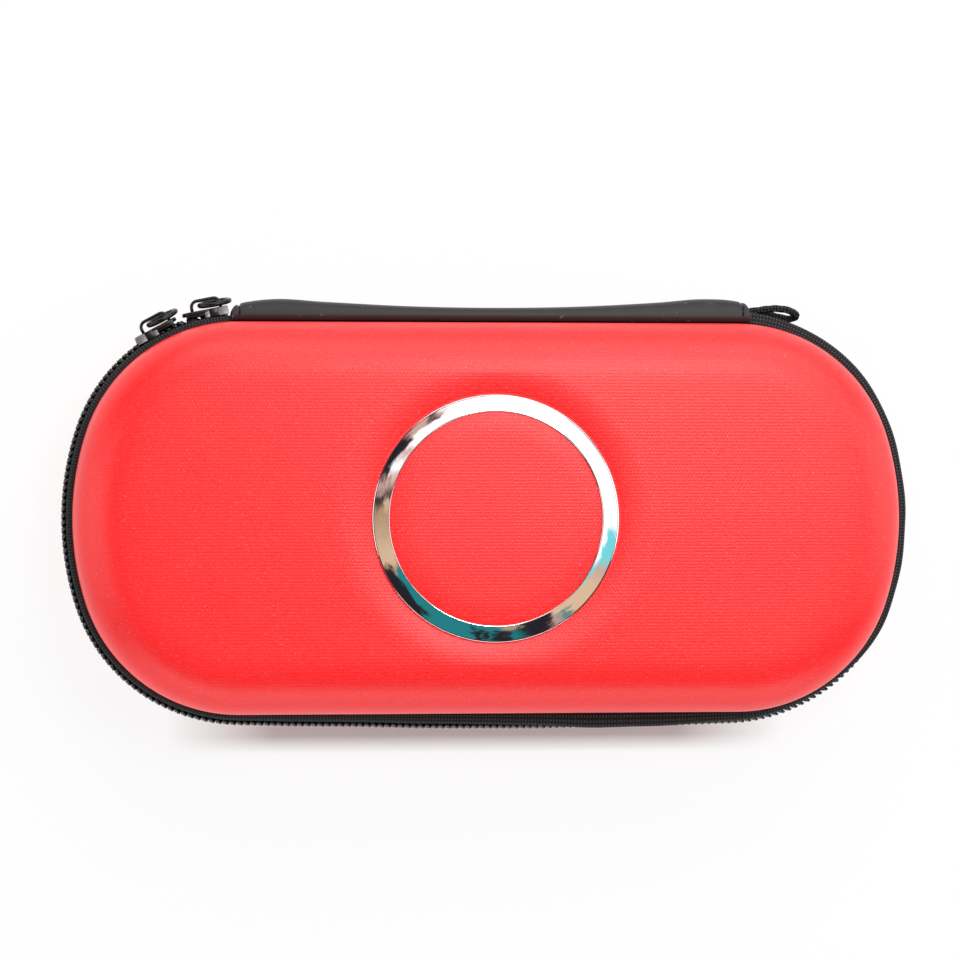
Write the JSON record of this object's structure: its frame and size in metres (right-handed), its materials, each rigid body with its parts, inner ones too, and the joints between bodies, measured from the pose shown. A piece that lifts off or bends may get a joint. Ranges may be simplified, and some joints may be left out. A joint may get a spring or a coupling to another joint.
{
  "type": "portable game console case",
  "caption": "Red moulded clamshell case with rounded ends, a zip round three sides with ring-pull sliders, a top carrying handle, a cord loop and a bright ring on its front face.",
  "frame": {"origin": "middle of the flat back face that the case lies on", "axes": "+X along the case's length, +Y towards the hinge and handle side, +Z out of the front face with the ring"},
  "size_m": [0.2018, 0.1016, 0.0451],
  "materials": {
    "red_skin": "fine-grained synthetic leather over moulded foam, satin",
    "bright_foil": "bright mirror foil",
    "zip_tape": "woven polyester tape",
    "zip_coil": "nylon coil, satin",
    "slider_metal": "glossy black lacquer on die-cast metal",
    "handle_skin": "matt soft-touch synthetic leather",
    "braid": "braided cord",
    "binding": "woven edge binding",
    "net": "knitted net",
    "elastic": "woven elastic"
  },
  "bodies": {
    "base": {"back_shell": "red_skin", "back_zip_tape": "zip_tape", "back_zip_coil": "zip_coil", "back_binding": "binding", "hinge_strip": "zip_tape", "handle": "handle_skin", "cord_loop": "braid", "retaining_strap": "elastic"},
    "lid": {"front_shell": "red_skin", "ring_trim": "bright_foil", "front_zip_tape": "zip_tape", "front_zip_coil": "zip_coil", "front_binding": "binding", "net_pocket": "net", "pocket_hem": "elastic"},
    "slider_left": {"left_slider": "slider_metal"},
    "slider_right": {"right_slider": "slider_metal"},
    "pull_left": {"left_pull": "slider_metal"},
    "pull_right": {"right_pull": "slider_metal"}
  },
  "joints": [
    {"name": "lid_hinge", "type": "hinge", "parent": "base", "child": "lid", "pos_m": [0, 0.051, 0.0225], "axis": [-1, 0, 0], "range_deg": [0, 90], "deforming": ["hinge_strip", "handle", "front_zip_tape", "front_zip_coil"]},
    {"name": "left_slider_travel", "type": "hinge", "parent": "base", "child": "slider_left", "pos_m": [-0.05918, 0.0085, 0.0225], "axis": [0, 0, 1], "range_deg": [0, 30]},
    {"name": "right_slider_travel", "type": "hinge", "parent": "base", "child": "slider_right", "pos_m": [-0.05918, 0.0085, 0.0225], "axis": [0, 0, 1], "range_deg": [-0.3, 0.3]},
    {"name": "left_pull_swing", "type": "hinge", "parent": "slider_left", "child": "pull_left", "pos_m": [-0.08048, 0.04569, 0.0225], "axis": [0, 0, 1], "range_deg": [0, 100]},
    {"name": "right_pull_swing", "type": "hinge", "parent": "slider_right", "child": "pull_right", "pos_m": [-0.06846, 0.05034, 0.0225], "axis": [0, 0, 1], "range_deg": [0, 100]}
  ]
}
